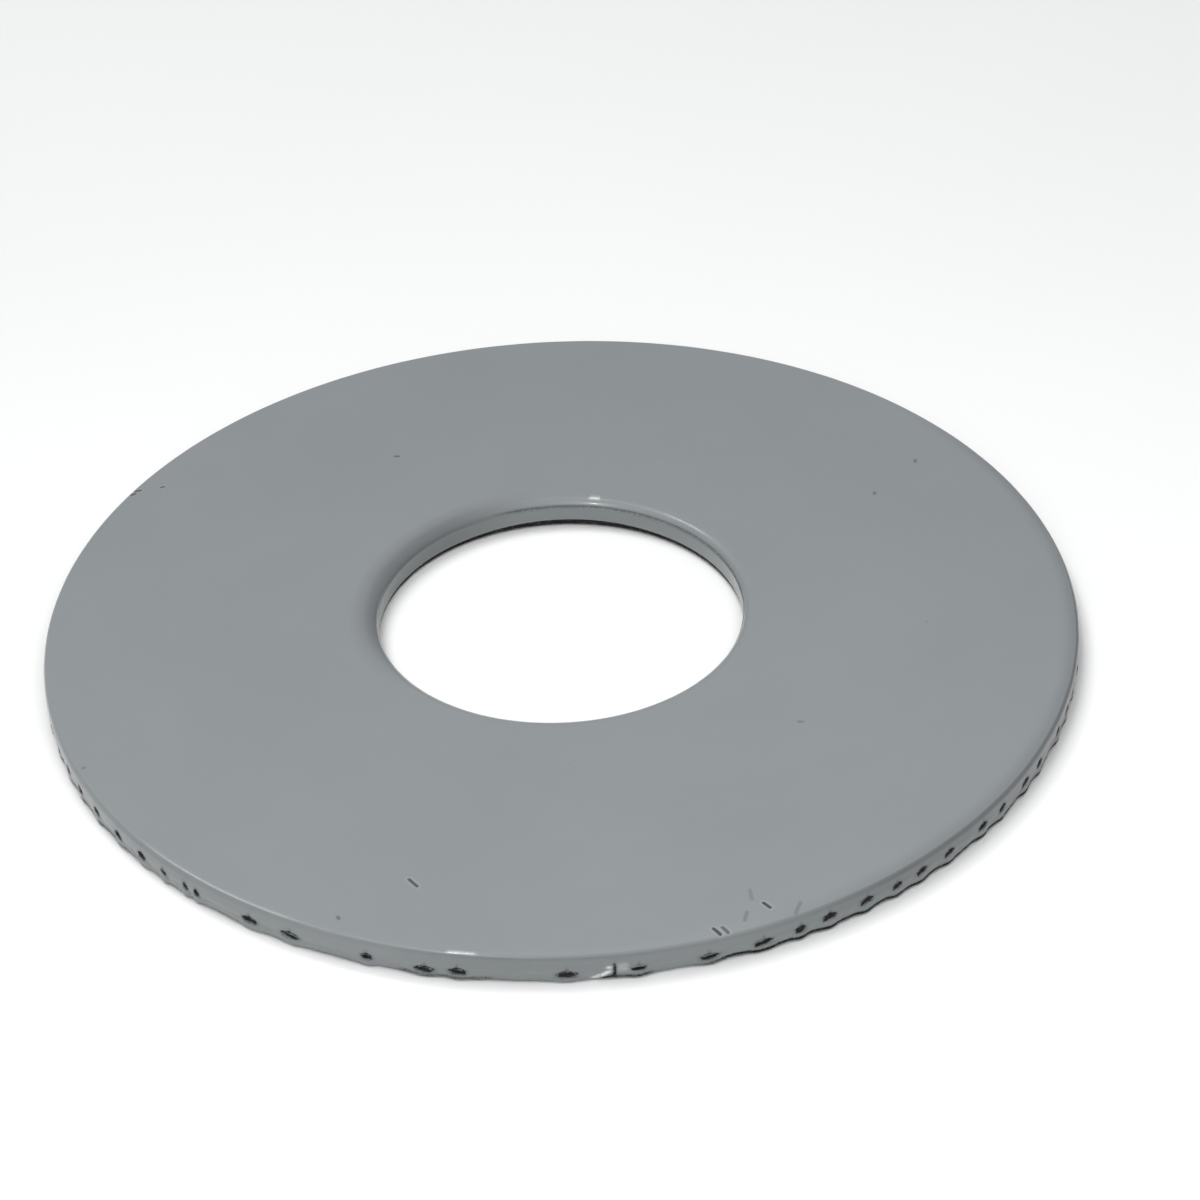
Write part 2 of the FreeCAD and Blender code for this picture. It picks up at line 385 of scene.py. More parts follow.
class Window:
    """A block of grid cells that is cut out of a zone and filled with finer work.

    A place in it is (x, y) in metres from its middle, x anticlockwise round the
    washer and y up the wall.
    """

    def __init__(self, zone, row, column, half_rows, half_columns):
        self.zone, self.row, self.column = zone, row, column
        steps = zone.points.shape[1]
        here = zone.points[row, column % steps]
        self.cell = (
            np.linalg.norm(zone.points[row, (column + 1) % steps] - here),
            np.linalg.norm(zone.points[row + 1, column % steps] - here),
        )
        columns = np.arange(column - half_columns, column + half_columns) % steps
        zone.open[np.ix_(np.arange(row - half_rows, row + half_rows), columns)] = True
        bottom = [(-half_rows, c) for c in range(-half_columns, half_columns)]
        right = [(r, half_columns) for r in range(-half_rows, half_rows)]
        top = [(half_rows, -c) for c in range(-half_columns, half_columns)]
        left = [(-r, -half_columns) for r in range(-half_rows, half_rows)]
        self.edge = np.array(bottom + right + top + left)
        self.turn = np.arctan2(self.edge[:, 0] / half_rows, self.edge[:, 1] / half_columns)

    def edge_indices(self, indices):
        """Return the vertex numbers along the window's edge, from a grid of numbers."""
        steps = indices.shape[1]
        return indices[self.row + self.edge[:, 0], (self.column + self.edge[:, 1]) % steps]

    def loop(self, outline, share, lift):
        """Return a loop that lies a share of the way from the window's edge to an outline."""
        target = np.stack([outline[:, 1] / self.cell[1], outline[:, 0] / self.cell[0]], -1)
        place = self.edge * (1 - share) + target * share
        lift = np.broadcast_to(lift, len(place))
        return self.zone.at(self.row + place[:, 0], self.column + place[:, 1], lift)


class Pit:
    """One torn slot: its window in the rim's zone and its outline, from sizes in mm."""

    def __init__(self, number, azimuth, length, width, tilt, arch, soot, height):
        self.azimuth, self.soot, self.length = azimuth, soot, length
        source = np.random.default_rng(500 + number)
        column = int(round(azimuth / 360 * FINE_STEPS))
        low_row = FIRST_WALL_RING - 1
        low_end = rim_zone.points[low_row, column % FINE_STEPS, 2]
        above = round((height * MM - low_end) / (FINE_TOP - low_end) * WALL_RINGS)
        self.row = low_row + min(max(above, PIT_HALF_ROWS), WALL_RINGS - PIT_HALF_ROWS)
        step_length = math.radians(360 / FINE_STEPS) * RIM
        half_columns = math.ceil((length / 2 + 0.25) * MM / step_length)
        self.window = Window(rim_zone, self.row, column, PIT_HALF_ROWS, half_columns)
        self.height = rim_zone.points[self.row, column % FINE_STEPS, 2]
        turn = self.window.turn
        uneven = 1.0
        for waves, depth in ((2, 0.09), (5, 0.09), (9, 0.05)):
            uneven = uneven + depth * np.sin(waves * turn + source.uniform(0, 6))
        across, up = np.cos(turn), np.sin(turn)
        x = np.sign(across) * np.abs(across) ** 0.75 * length / 2 * MM * uneven
        y = np.sign(up) * np.abs(up) ** 0.65 * width / 2 * MM * uneven
        y = y + arch * MM * (0.4 - (x / (length / 2 * MM)) ** 2) + tilt * x
        self.outline = np.stack([x, y], -1)
        self.middle = self.outline.mean(0)
        self.source = source

    def scaled(self, factor):
        """Return the outline drawn larger or smaller about its middle."""
        return self.middle + (self.outline - self.middle) * factor


pits = [Pit(number, *values) for number, values in enumerate(PITS)]


# Mesh building ---------------------------------------------------------------

class Shell:
    """The vertices and faces of one piece, gathered part by part."""

    def __init__(self):
        self.points, self.faces, self.count = [], [], 0

    def add(self, points):
        """Add vertices and return their numbers in the shape of the given array."""
        numbers = self.count + np.arange(points[..., 0].size).reshape(points.shape[:-1])
        self.points.append(points.reshape(-1, 3))
        self.count += numbers.size
        return numbers

    def grid(self, numbers, gaps, flip=False):
        """Add the quads of a grid of rings, apart from the gaps."""
        near, far = numbers[:-1], numbers[1:]
        quads = np.stack([near, np.roll(near, -1, 1), np.roll(far, -1, 1), far], -1)
        quads = quads[~gaps[:-1]]
        self.faces += (quads[:, ::-1] if flip else quads).tolist()

    def band(self, first, second, flip=False):
        """Join two closed loops, one of which may have several times as many points."""
        first, second = list(first), list(second)
        count = min(len(first), len(second))
        many, few = len(first) // count, len(second) // count
        for step in range(count):
            low = [first[(step * many + k) % len(first)] for k in range(many + 1)]
            high = [second[(step * few + k) % len(second)] for k in range(few + 1)]
            face = low + high[::-1]
            self.faces.append(face[::-1] if flip else face)

    def disc(self, loop):
        """Close a loop with one face."""
        self.faces.append(list(loop))

    def make(self, name):
        """Return the finished object, with smooth shading."""
        mesh = bpy.data.meshes.new(name)
        mesh.from_pydata(np.concatenate(self.points).tolist(), [], self.faces)
        mesh.polygons.foreach_set("use_smooth", [True] * len(mesh.polygons))
        mesh.update()
        piece = bpy.data.objects.new(name, mesh)
        bpy.context.scene.collection.objects.link(piece)
        return piece


def add_surface(shell, depth, detail, flip=False):
    """Add the washer's whole surface, moved inwards by a depth, with optional detail."""
    numbers = []
    for zone in (rim_zone, disc_zone):
        lift = (detail(zone) if detail else 0) - depth
        numbers.append(shell.add(zone.points + zone.normals * np.asarray(lift)[..., None]))
        shell.grid(numbers[-1], zone.open, flip)
    rim, disc = numbers
    shell.band(rim[-1], disc[0], flip)
    shell.band(disc[-1], rim[0], flip)
    return rim, disc


def paint_detail(zone):
    """Return the height of the paint's own detail over the washer's surface."""
    detail = np.zeros(zone.points.shape[:2])
    if zone is rim_zone:
        for pit in pits:
            detail += lip_and_hood(pit)
        return detail
    return detail - crease(zone)


def lip_and_hood(pit):
    """Return the raised lip under a pit and the shallow hooded dent over it."""
    reach = 18
    first_row = 4
    columns = (pit.window.column + np.arange(-reach, reach + 1)) % FINE_STEPS
    x = np.arange(-reach, reach + 1)[None, :] * pit.window.cell[0]
    rows = np.arange(len(rim_zone.points))[:, None]
    y = (rows - pit.row) * pit.window.cell[1]
    half = pit.length / 2 * MM
    lip = bell(x, 0.9 * half) * bell(y + 0.42 * MM, 0.20 * MM)
    arch = 0.42 * MM * (1 - (x / (1.15 * half)) ** 2)
    hood = smooth((arch - y) / (0.16 * MM)) * smooth((y + 0.1 * MM) / (0.2 * MM))
    hood = hood * (np.abs(x) < 1.15 * half)
    patch = 0.022 * MM * lip - 0.03 * MM * hood * pit.soot
    wall = (rows > first_row) & (rows < FIRST_WALL_RING + WALL_RINGS)
    detail = np.zeros(rim_zone.points.shape[:2])
    detail[:, columns] = patch * wall
    return detail


# Radius and height of the fine crease near the lower end of the bore's roll
CREASE_TURN = math.radians(153)
CREASE_RADIUS = BORE + BORE_ROLL_WIDTH + BORE_ROLL_RADIUS * math.cos(CREASE_TURN)
CREASE_HEIGHT = TOP + BORE_ROLL_RADIUS * (math.sin(CREASE_TURN) - 1)


def crease(zone):
    """Return the depth of the fine crease near the lower end of the bore's roll."""
    radius = np.hypot(zone.points[..., 0], zone.points[..., 1])
    away = np.hypot(radius - CREASE_RADIUS, zone.points[..., 2] - CREASE_HEIGHT)
    azimuth = np.degrees(np.arctan2(zone.points[..., 1], zone.points[..., 0]))
    strong = smooth((112 - azimuth) / 4) * smooth((azimuth + 20) / 60)
    return 0.10 * MM * bell(away, 0.13 * MM) * (0.12 + 0.88 * strong)


# Loops round a pit in the paint's outer face, from its window's edge into its mouth: the
# size of the outline, the share of the way to it and the lift in mm
PAINT_LOOPS = [
    (1.30, 0.15, 0.001), (1.30, 0.30, 0.002), (1.28, 0.45, 0.003), (1.26, 0.60, 0.006),
    (1.24, 0.75, 0.009), (1.21, 0.88, 0.013), (1.12, 1.0, 0.020), (1.04, 1.0, 0.014),
    (1.0, 1.0, -0.006), (0.97, 1.0, -0.045), (0.95, 1.0, -0.085),
]
# Loops in its inner face, back to the window's edge
LINING_LOOPS = [(0.96, 1.0), (1.2, 0.7)]
# Loops in the steel under it, down into the torn hollow, with the drop in mm
STEEL_LOOPS = [
    (1.15, 0.8, 0.0), (1.02, 1.0, 0.01), (0.92, 1.0, 0.08),
    (0.75, 1.0, 0.13), (0.5, 1.0, 0.16), (0.22, 1.0, 0.17),
]


def build_skin():
    """Build the coat of paint: outer and inner surface, joined through the pits."""
    shell = Shell()
    outer = add_surface(shell, 0, paint_detail)[0]
    inner = add_surface(shell, FILM, None, flip=True)[0]
    base_detail = paint_detail(rim_zone)
    for pit in pits:
        window = pit.window
        columns = (window.column + window.edge[:, 1]) % FINE_STEPS
        edge_lift = base_detail[window.row + window.edge[:, 0], columns]
        last = window.edge_indices(outer)
        low_side = np.clip(-np.sin(window.turn), 0, 1)
        for factor, share, lift in PAINT_LOOPS:
            fade = edge_lift * (1 - share)
            lift = fade + lift * MM * (0.5 + 0.9 * low_side)
            loop = shell.add(window.loop(pit.scaled(factor), share, lift))
            shell.band(last, loop)
            last = loop
        for factor, share in LINING_LOOPS:
            loop = shell.add(window.loop(pit.scaled(factor), share, -FILM))
            shell.band(last, loop)
            last = loop
        shell.band(last, window.edge_indices(inner))
    return shell.make("enamel_skin")


def build_plate():
    """Build the steel inside the paint, torn open in each pit."""
    shell = Shell()
    depth = FILM + 0.002 * MM
    steel = add_surface(shell, depth, None)[0]
    for pit in pits:
        last = pit.window.edge_indices(steel)
        for factor, share, drop in STEEL_LOOPS:
            rough = pit.source.uniform(-0.25, 0.25, len(pit.outline)) * drop
            lift = -depth - (drop + rough) * MM
            loop = shell.add(pit.window.loop(pit.scaled(factor), share, lift))
            shell.band(last, loop)
            last = loop
        shell.disc(last)
    return shell.make("torn_plate")


# Marks that the materials read -----------------------------------------------

# Stretches of azimuth that carry a mark: start, end and fade in degrees
# RIGHT_ROLL to BORE_LEFT are where the shade mark paints shade
RIGHT_ROLL, RIGHT_EDGE = (-60, 45, 25), (-38, 45, 15)
FRONT_WALL, FRONT_RIGHT = (-112, 10, 14), (-76, 18, 25)
LEFT_WALL, BORE_LEFT = (165, 240, 20), (88, 225, 45)
# CREASE_SIDE carries painted shade in the crease, and BORE_BACK raises the painted shadow under the
# bore
CREASE_SIDE, BORE_BACK = (-30, 113, 12), (40, 130, 45)
# Painted glints: a short bright one and a pale line on the rim's roll, and one on the bore's roll
RIM_GLINT, RIM_GLINT_LINE, BORE_GLINT = (256.9, 260.4, 0.8), (219, 243, 5), (75.3, 79.5, 1.0)

# Painted shadow along the rim's lower lip, at the right and front and under two beads, and dark
# specks at the left: strength and stretch
LIP_SHADOW_AND_SPECKS = [
    (1.0, (-80, 24, 6)), (0.35, (252, 262, 1)), (0.6, (272.5, 277.5, 1)), (0.5, (168, 222, 12)),
]
CHIP_AZIMUTH = 272


def mark(piece, name, values):
    """Store a value from 0 to 1 at each vertex under a name that a material reads."""
    attribute = piece.data.attributes.new(name, "FLOAT", "POINT")
    attribute.data.foreach_set("value", np.clip(values, 0, 1).astype(np.float32))


def pit_soot(azimuth, height):
    """Return the dark smears round the pits: a halo, an arch over it and a streak upwards."""
    soot = np.zeros(len(azimuth))
    for pit in pits:
        x = along_rim(azimuth, pit.azimuth)
        near = np.abs(x) < 1.5 * MM
        x, y = x[near], height[near] - pit.height
        half = pit.length / 2 * MM
        arch = 0.46 * MM * (1 - (x / (1.3 * half)) ** 2)
        line = bell(y - arch, 0.10 * MM) * (np.abs(x) < 1.2 * half)
        streak = bell(x, 0.20 * MM) * bell(y - 0.50 * MM, 0.40 * MM)
        halo = bell(x, 1.25 * half, 4) * bell(y, 0.40 * MM, 3)
        soot[near] = np.maximum(soot[near], pit.soot * (0.55 * line + 0.35 * streak + 0.42 * halo))
    return soot


def chips_and_painted_glints(azimuth, height, radius):
    """Return the pale and the dark marks: chips in the rim's wall, painted glints on the rim's roll
    and the bore's roll, and a painted shadow under a chip.
    """
    x = along_rim(azimuth, CHIP_AZIMUTH)

    def spot(middle_x, middle_height, half_width, half_height, powers):
        """Return a soft spot on the rim's wall, with its place and sizes in mm."""
        across = bell(x - middle_x * MM, half_width * MM, powers[0])
        return across * bell(height - middle_height * MM, half_height * MM, powers[1])

    sliver = bell(height - 0.80 * MM - 0.45 * x, 0.26 * MM, 4) * bell(x - 0.1 * MM, 1.0 * MM, 4)
    spark = spot(0.85, 1.75, 0.28, 0.20, (2, 2))
    patch = spot(2.1, 1.65, 0.55, 0.55, (4, 4))
    crack = spot(1.35, 1.35, 0.16, 0.85, (2, 4))
    # Painted shadow: a dark line under the chip's lip, its foot
    foot_shadow_line = 0.55 * MM + 0.25 * (x - 0.8 * MM)
    foot = bell(height - foot_shadow_line, 0.19 * MM) * bell(x - 0.7 * MM, 0.7 * MM, 4)
    # Painted glints on the rim's roll and on the bore's roll
    roll_line = bell(radius - LAND + 0.34 * MM, 0.08 * MM)
    rim_glint_lines = (0.9 * sector(azimuth, *RIM_GLINT) + 0.22 * sector(azimuth, *RIM_GLINT_LINE)) * roll_line
    bore_glint_spot = sector(azimuth, *BORE_GLINT) * bell(radius - BORE - 1.0 * MM, 0.20 * MM)
    pale = (sliver + spark + 0.28 * patch) * (radius > BURR_ROOT) + (rim_glint_lines + bore_glint_spot) * (height > 2 * MM)
    return pale, np.maximum(crack, foot)


def soot_and_painted_shadow(azimuth, height, radius, dark_chip_and_shadow):
    """Return the soot mark: soot round the pits, a painted shadow along the lower lip and under the
    bore, and painted shade in the crease.
    """
    # Painted shadow under the lower lip, with dark specks at the left
    lip_darkness = sum(strength * sector(azimuth, *stretch) for strength, stretch in LIP_SHADOW_AND_SPECKS)
    above_lip = np.maximum(height - lip_height(bump_strength(azimuth)), 0)
    lip_shadow_and_specks = lip_darkness * bell(above_lip, 0.26 * MM, 4)
    # Painted shade in the crease near the lower end of the bore's roll
    crease_shade = bell(np.hypot(radius - CREASE_RADIUS, height - CREASE_HEIGHT), 0.16 * MM)
    # Painted shadow: a black band at the foot of the bore's wall, taller at the back
    band_top = BORE_WALL_LOW + 0.20 * MM * sector(azimuth, *BORE_BACK)
    painted_bore_shadow = smooth((band_top - height) / (0.05 * MM)) * (radius < BORE + 0.3 * MM)
    soot = np.maximum(np.maximum(pit_soot(azimuth, height), dark_chip_and_shadow), lip_shadow_and_specks)
    soot = (radius > BURR_ROOT) * soot
    return soot + 0.42 * sector(azimuth, *CREASE_SIDE) * crease_shade + painted_bore_shadow


def painted_shade_marks(azimuth, height, radius):
    """Return the painted shade: darker places on the rim's right, front and left, and round the
    bore.
    """
    wall = radius > LAND - 0.4 * MM
    roll = smooth((radius - LAND + 2.1 * MM) / (2.0 * MM))
    outer_edge = smooth((radius - LAND + 0.30 * MM) / (0.15 * MM))
    upper_wall = smooth((height - 1.2 * MM) / (0.9 * MM))
    below_roll = wall * (height < TOP - 0.3 * MM)
    near_bore = smooth((BORE + 2.6 * MM - radius) / (1.8 * MM))
    right = 0.22 * sector(azimuth, *RIGHT_ROLL) * roll
    right = right + 0.50 * sector(azimuth, *RIGHT_EDGE) * outer_edge
    front = sector(azimuth, *FRONT_WALL) * wall * (0.04 + 0.16 * upper_wall)
    front = front + sector(azimuth, *FRONT_RIGHT) * (0.24 * upper_wall * roll + 0.12 * wall)
    left = 0.14 * sector(azimuth, *LEFT_WALL) * below_roll
    bore_left = 0.50 * sector(azimuth, *BORE_LEFT) * near_bore
    bore_wall = 0.10 * (radius < BORE + 0.1 * MM)
    return np.maximum(np.maximum(right, front) + left, np.maximum(bore_left, bore_wall))


def wear_and_painted_light(piece):
    """Store the marks of the piece: soot and painted shadow, pale chips and painted highlights, and
    painted shade.
    """
    places = np.zeros(len(piece.data.vertices) * 3, np.float32)
    piece.data.vertices.foreach_get("co", places)
    places = places.reshape(-1, 3).astype(float)
    azimuth = np.degrees(np.arctan2(places[:, 1], places[:, 0])) % 360
    radius, height = np.hypot(places[:, 0], places[:, 1]), places[:, 2]
    pale_chips_and_glints, dark_chip_and_shadow = chips_and_painted_glints(azimuth, height, radius)
    soot = soot_and_painted_shadow(azimuth, height, radius, dark_chip_and_shadow)
    # Painted highlight: a light line along the lower edge of the bore's wall
    painted_edge_highlight = bell(height - BORE_WALL_LOW, 0.16 * MM) * (radius < BORE + 0.03 * MM)
    mark(piece, "soot", soot)
    mark(piece, "chalk", (pale_chips_and_glints + 0.10 * painted_edge_highlight) * np.clip(1 - soot, 0, 1))
    mark(piece, "shade", painted_shade_marks(azimuth, height, radius))


# Materials -------------------------------------------------------------------

class Graph:
    """A material's node tree, with short calls for what is used here."""

    def __init__(self, name):
        self.material = bpy.data.materials.new(name)
        self.material.use_nodes = True
        self.tree = self.material.node_tree
        self.shader = self.tree.nodes["Principled BSDF"]
        self.place = self.node("ShaderNodeTexCoord").outputs["Object"]

    def node(self, kind, **settings):
        """Add a node. Settings are its properties."""
        made = self.tree.nodes.new(kind)
        for key, value in settings.items():
            setattr(made, key, value)
        return made

    def link(self, source, target):
        """Join an output to an input, or set the input if the source is a number."""
        if isinstance(source, (int, float, tuple)):
            target.default_value = source
        else:
            self.tree.links.new(source, target)

    def noise(self, size, detail=3.0, roughness=0.55):
        """Return a noise whose lumps have about this size in metres."""
        made = self.node("ShaderNodeTexNoise")
        self.link(self.place, made.inputs["Vector"])
        made.inputs["Scale"].default_value = 1 / size
        made.inputs["Detail"].default_value = detail
        made.inputs["Roughness"].default_value = roughness
        return made.outputs["Fac"]

    def remap(self, value, low, high, to_low=0.0, to_high=1.0, kind="LINEAR"):
        """Return a value moved from one range to another and clamped there."""
        made = self.node("ShaderNodeMapRange", interpolation_type=kind)
        numbers = {"From Min": low, "From Max": high, "To Min": to_low, "To Max": to_high}
        for key, number in numbers.items():
            made.inputs[key].default_value = number
        self.link(value, made.inputs["Value"])
        return made.outputs["Result"]

    def math(self, operation, first, second=0.0):
        """Return a sum, product or other result of two values."""
        made = self.node("ShaderNodeMath", operation=operation)
        self.link(first, made.inputs[0])
        self.link(second, made.inputs[1])
        return made.outputs["Value"]

    def mix(self, factor, first, second):
        """Return a mix of two colours."""
        made = self.node("ShaderNodeMix", data_type="RGBA")
        self.link(factor, made.inputs["Factor"])
        self.link(first, made.inputs["A"])
        self.link(second, made.inputs["B"])
        return made.outputs["Result"]

    def bump(self, height, distance, below=None):
        """Return a normal bent by a height, over an earlier normal if there is one."""
        made = self.node("ShaderNodeBump")
        self.link(height, made.inputs["Height"])
        made.inputs["Distance"].default_value = distance
        made.inputs["Strength"].default_value = 1.0
        if below:
            self.link(below, made.inputs["Normal"])
        return made.outputs["Normal"]

    def vector(self, operation, first, second=None, scale=None):
        """Return a result of vector arithmetic: a number for DOT_PRODUCT and LENGTH."""
        made = self.node("ShaderNodeVectorMath", operation=operation)
        self.link(first, made.inputs[0])
        if second is not None:
            self.link(second, made.inputs[1])
        if scale is not None:
            self.link(scale, made.inputs["Scale"])
        return made.outputs["Value" if operation in ("DOT_PRODUCT", "LENGTH") else "Vector"]

    def distance_to_line(self, start, end):
        """Return the distance, seen from above, to the straight line between two places."""
        flat = self.vector("MULTIPLY", self.place, (1.0, 1.0, 0.0))
        offset = self.vector("SUBTRACT", flat, tuple(start))
        along = tuple(end - start)
        product = self.vector("DOT_PRODUCT", offset, along)
        share = self.remap(self.math("DIVIDE", product, (end - start).length_squared), 0, 1)
        nearest = self.vector("SCALE", along, scale=share)
        return self.vector("LENGTH", self.vector("SUBTRACT", offset, nearest))

    def marked(self, name):
        """Return a value stored at the vertices."""
        return self.node("ShaderNodeAttribute", attribute_name=name).outputs["Fac"]

    def finish(self, **inputs):
        """Connect the shader's inputs, by name with underscores for spaces."""
        for key, value in inputs.items():
            self.link(value, self.shader.inputs[key.replace("_", " ")])
        return self.material


# Scratches in the upper face: azimuth and radius in mm of both ends, depth of tone
SCRATCHES = [
    ((250.0, 45.7), (251.3, 46.4), 0.8), ((283.6, 53.5), (284.0, 54.3), 0.9),
    ((284.5, 53.6), (284.8, 54.3), 0.7), ((289.7, 51.9), (290.0, 52.7), 0.9),
    ((289.2, 49.7), (288.8, 51.0), 0.25), ((287.6, 52.4), (286.9, 53.4), 0.3),
    ((293.1, 53.3), (292.0, 54.3), 0.3), ((316.6, 32.2), (316.9, 32.5), 0.35),
    ((151.8, 54.1), (152.2, 54.3), 0.8), ((150.9, 53.9), (151.3, 54.3), 0.8),
    ((149.0, 51.9), (149.3, 52.1), 0.7), ((120.1, 35.4), (120.6, 35.6), 0.6),
    ((26.6, 40.0), (26.9, 40.2), 0.5), ((30.2, 47.6), (30.6, 47.9), 0.5),
    ((245.0, 52.6), (245.2, 52.8), 0.5), ((205.9, 53.8), (206.0, 53.9), 0.35),
]
SCRATCH_WIDTH = 0.24 * MM


def upper_place(azimuth, radius):
    """Return a place from its azimuth and its radius in mm, seen from above."""
    turn = math.radians(azimuth)
    return Vector((math.cos(turn), math.sin(turn), 0)) * radius * MM


def scratch_masks(graph):
    """Return the dark cores and the light edges of the scratches in the upper face."""
    dark, light = 0.0, 0.0
    for start, end, tone in SCRATCHES:
        away = graph.distance_to_line(upper_place(*start), upper_place(*end))
        edge_tone = 0.28 * tone * (tone > 0.6)
        core = graph.remap(away, SCRATCH_WIDTH, SCRATCH_WIDTH * 0.5, 0, tone)
        edge = graph.remap(away, SCRATCH_WIDTH * 1.9, SCRATCH_WIDTH * 1.2, 0, edge_tone)
        dark = graph.math("MAXIMUM", dark, core)
        light = graph.math("MAXIMUM", light, edge)
    return dark, light


def dust_specks(graph):
    """Return a few small dust specks: a mask of the cores of rare cells."""
    cells = graph.node("ShaderNodeTexVoronoi", feature="F1")
    graph.link(graph.place, cells.inputs["Vector"])
    cells.inputs["Scale"].default_value = 1 / (3.2 * MM)
    chosen = graph.node("ShaderNodeSeparateColor")
    graph.link(cells.outputs["Color"], chosen.inputs["Color"])
    rare = graph.remap(chosen.outputs["Red"], 0.93, 0.95)
    return graph.math("MULTIPLY", graph.remap(cells.outputs["Distance"], 0.055, 0.025), rare)


# Colours, linear
ENAMEL_LOW = (0.243, 0.262, 0.272, 1)
ENAMEL_HIGH = (0.257, 0.274, 0.283, 1)
ENAMEL_CLOUD = (0.232, 0.252, 0.262, 1)
# The walls' enamel: darker than the top as painted shade, and greener
SHADED_WALL_GREENISH = (0.195, 0.226, 0.222, 1)
SHADED_WALL_BLUISH = (0.210, 0.222, 0.230, 1)
DUST = (0.13, 0.14, 0.15, 1)
# Painted shade: the colour that the shade mark mixes in
PAINTED_SHADE = (0.070, 0.074, 0.076, 1)
# Soot, and the black of the painted shadows and painted shade that the soot mark carries
SOOT_AND_SHADOW = (0.010, 0.011, 0.011, 1)
SCRATCH_EDGE = (0.42, 0.44, 0.44, 1)
SCRATCH_CORE = (0.030, 0.033, 0.035, 1)
# Pale chips, and the painted glints and highlight that the chalk mark carries
CHALK_AND_HIGHLIGHT = (0.78, 0.79, 0.78, 1)
STEEL_LOW = (0.018, 0.018, 0.019, 1)
STEEL_HIGH = (0.075, 0.072, 0.070, 1)
RUST = (0.085, 0.055, 0.040, 1)
FLOOR_LOW = (0.938, 0.937, 0.935, 1)
FLOOR_HIGH = (0.948, 0.947, 0.945, 1)


def enamel_material():
    """Glossy cool grey enamel: blotches, orange peel, dust, soot at the tears, pale chips, with
    painted shade, painted shadows and painted glints.
    """
    graph = Graph("grey_enamel")
    blotch = graph.remap(graph.noise(22 * MM, 2), 0.3, 0.7)
    cloud = graph.remap(graph.noise(6 * MM, 3), 0.25, 0.75)
    colour = graph.mix(blotch, ENAMEL_LOW, ENAMEL_HIGH)
    colour = graph.mix(graph.math("MULTIPLY", cloud, 0.35), colour, ENAMEL_CLOUD)

    # Painted shade: sides are coloured darker and greener than the top
    upright = graph.node("ShaderNodeSeparateXYZ")
    graph.link(graph.node("ShaderNodeNewGeometry").outputs["Normal"], upright.inputs["Vector"])
    flatness = graph.math("ABSOLUTE", upright.outputs["Z"])
    facing_side = graph.remap(flatness, 0.95, 0.2, kind="SMOOTHSTEP")
    tint = graph.remap(graph.noise(3.5 * MM, 2), 0.35, 0.65)
    wall = graph.mix(tint, SHADED_WALL_GREENISH, SHADED_WALL_BLUISH)
    colour = graph.mix(graph.math("MULTIPLY", facing_side, 0.8), colour, wall)
    colour = graph.mix(graph.math("MULTIPLY", dust_specks(graph), 0.55), colour, DUST)
    # Painted shade on the rim's sides and round the bore
    colour = graph.mix(graph.marked("shade"), colour, PAINTED_SHADE)

    # Soot round the pits, with painted shadow and painted shade from the same mark
    soot_noise = graph.remap(graph.noise(0.25 * MM, 4, 0.7), 0.38, 0.6, 0.6, 2.0)
    soot = graph.math("MINIMUM", graph.math("MULTIPLY", graph.marked("soot"), soot_noise), 1.0)
    colour = graph.mix(soot, colour, SOOT_AND_SHADOW)
    facing_up = graph.math("SUBTRACT", 1.0, facing_side)
    dark, light = (graph.math("MULTIPLY", mask, facing_up) for mask in scratch_masks(graph))
    colour = graph.mix(light, colour, SCRATCH_EDGE)
    colour = graph.mix(dark, colour, SCRATCH_CORE)
    # Pale chips with painted glints and a painted highlight from the same mark
    chalk_noise = graph.remap(graph.noise(0.3 * MM, 3), 0.3, 0.6, 0.4, 1.0)
    chalk = graph.math("MULTIPLY", graph.marked("chalk"), chalk_noise)
    colour = graph.mix(chalk, colour, CHALK_AND_HIGHLIGHT)

    orange_peel = graph.noise(1.6 * MM, 2, 0.5)
    fine_peel = graph.noise(0.35 * MM, 2, 0.5)
    normal = graph.bump(orange_peel, 0.0035 * MM)
    normal = graph.bump(fine_peel, 0.0006 * MM, below=normal)
    normal = graph.bump(graph.math("SUBTRACT", light, dark), 0.03 * MM, below=normal)
    roughness = graph.remap(graph.noise(4 * MM, 3), 0.3, 0.7, 0.29, 0.35)
    roughness = graph.math("ADD", roughness, graph.math("MULTIPLY", soot, 0.3))
    return graph.finish(
        Base_Color=colour, Roughness=roughness, IOR=1.5, Normal=normal,
        Specular_IOR_Level=graph.remap(soot, 0, 1, 0.5, 0.08),
        Coat_Weight=graph.remap(soot, 0, 1, 0.35, 0.0), Coat_Roughness=0.08, Coat_IOR=1.45,
    )


def torn_steel_material():
    """Dark torn steel with a little oil and rust, seen in the pits."""
    graph = Graph("torn_steel")
    grain = graph.remap(graph.noise(0.12 * MM, 5, 0.7), 0.3, 0.7)
    colour = graph.mix(grain, STEEL_LOW, STEEL_HIGH)
    rust = graph.remap(graph.noise(0.6 * MM, 3), 0.56, 0.72)
    colour = graph.mix(graph.math("MULTIPLY", rust, 0.5), colour, RUST)
    normal = graph.bump(graph.noise(0.1 * MM, 4, 0.7), 0.03 * MM)
    roughness = graph.remap(graph.noise(0.4 * MM, 3), 0.3, 0.7, 0.45, 0.75)
    return graph.finish(Base_Color=colour, Roughness=roughness, Metallic=0.55, Normal=normal)


def floor_material():
    """Plain pale studio floor with a barely visible tooth."""
    graph = Graph("pale_floor")
    tone = graph.remap(graph.noise(60 * MM, 2), 0.3, 0.7)
    colour = graph.mix(tone, FLOOR_LOW, FLOOR_HIGH)
    return graph.finish(Base_Color=colour, Roughness=0.75, Specular_IOR_Level=0.2)


# Stage -----------------------------------------------------------------------

